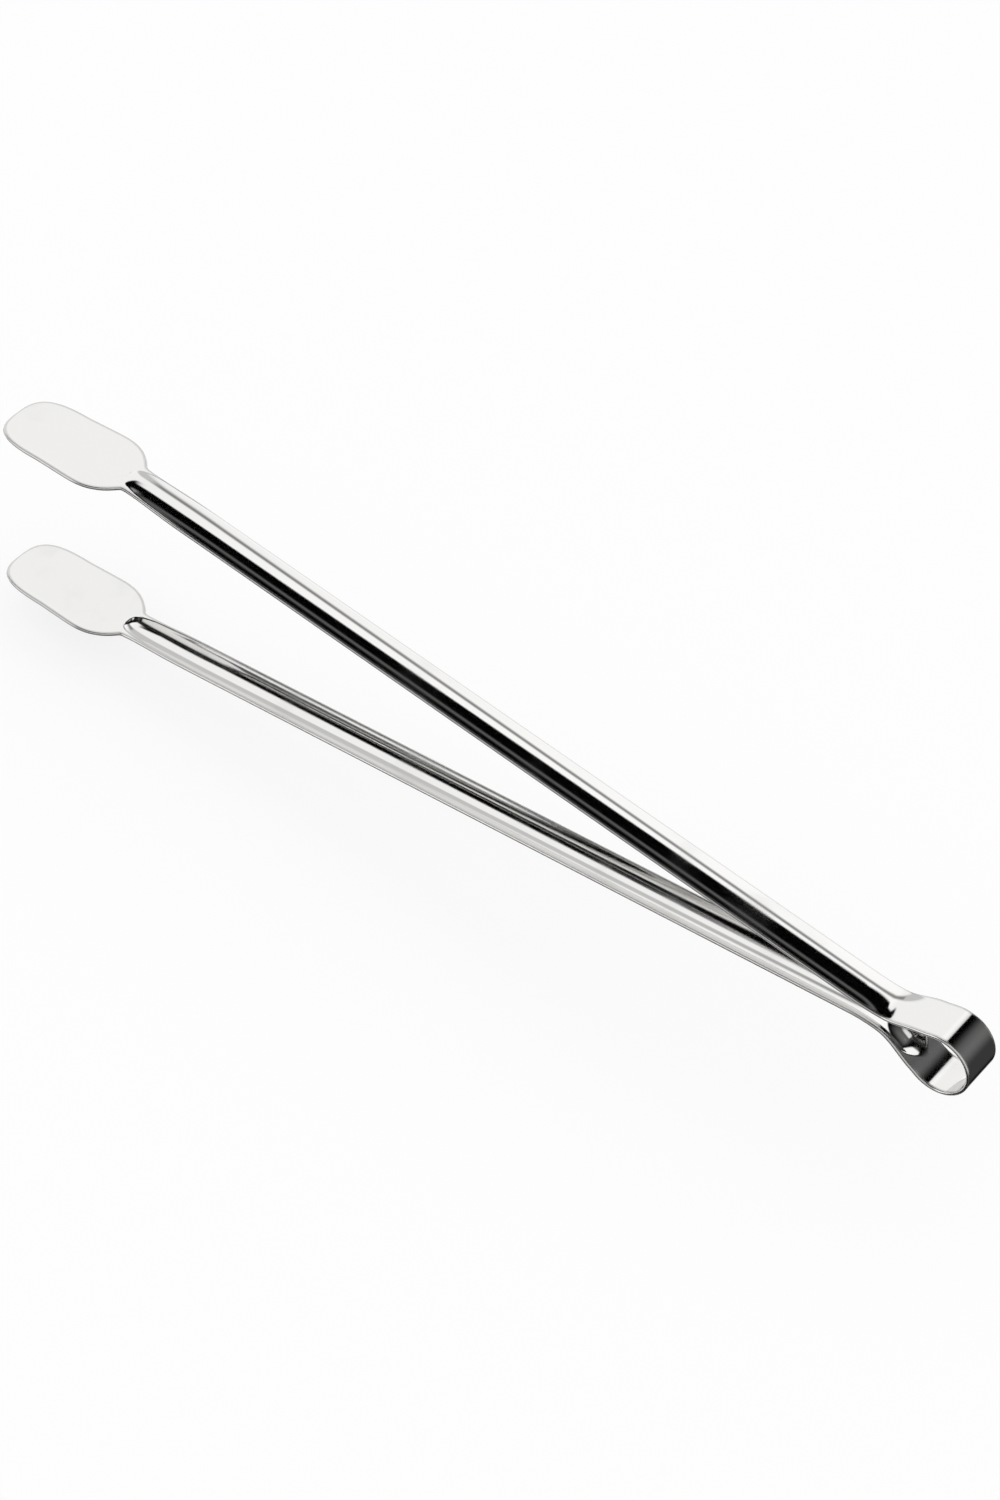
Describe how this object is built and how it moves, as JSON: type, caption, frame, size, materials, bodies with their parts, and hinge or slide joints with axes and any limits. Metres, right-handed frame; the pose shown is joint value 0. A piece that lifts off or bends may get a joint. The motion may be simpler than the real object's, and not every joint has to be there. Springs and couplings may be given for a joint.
{
  "type": "stamp tongs",
  "caption": "Long sprung stamp tongs: one polished steel strip with a round loop spring, two channelled arms and broad flat spade tips.",
  "frame": {"origin": "centre of the round loop, mid-width of the strip", "axes": "+X out through the back of the loop, spades towards -X; Y across the strip; +Z from the lower arm to the upper arm"},
  "size_m": [0.16, 0.0116, 0.0294],
  "materials": {
    "polished_steel": "polished"
  },
  "bodies": {
    "loop": {"spring_loop": "polished_steel"},
    "upper_arm": {"upper_arm": "polished_steel", "upper_spade": "polished_steel"},
    "lower_arm": {"lower_arm": "polished_steel", "lower_spade": "polished_steel"}
  },
  "joints": [
    {"name": "upper_arm_flex", "type": "hinge", "parent": "loop", "child": "upper_arm", "pos_m": [-0.003, 0, 0.00383], "axis": [0, -1, 0], "range_deg": [-2, 4.92], "stiffness_Nm_per_rad": 1.4},
    {"name": "lower_arm_flex", "type": "hinge", "parent": "loop", "child": "lower_arm", "pos_m": [-0.003, 0, -0.00349], "axis": [0, 1, 0], "range_deg": [-2, 4.92], "stiffness_Nm_per_rad": 1.4}
  ],
  "couplings": [
    {"joint": "lower_arm_flex", "follows": "upper_arm_flex", "ratio": 1}
  ]
}
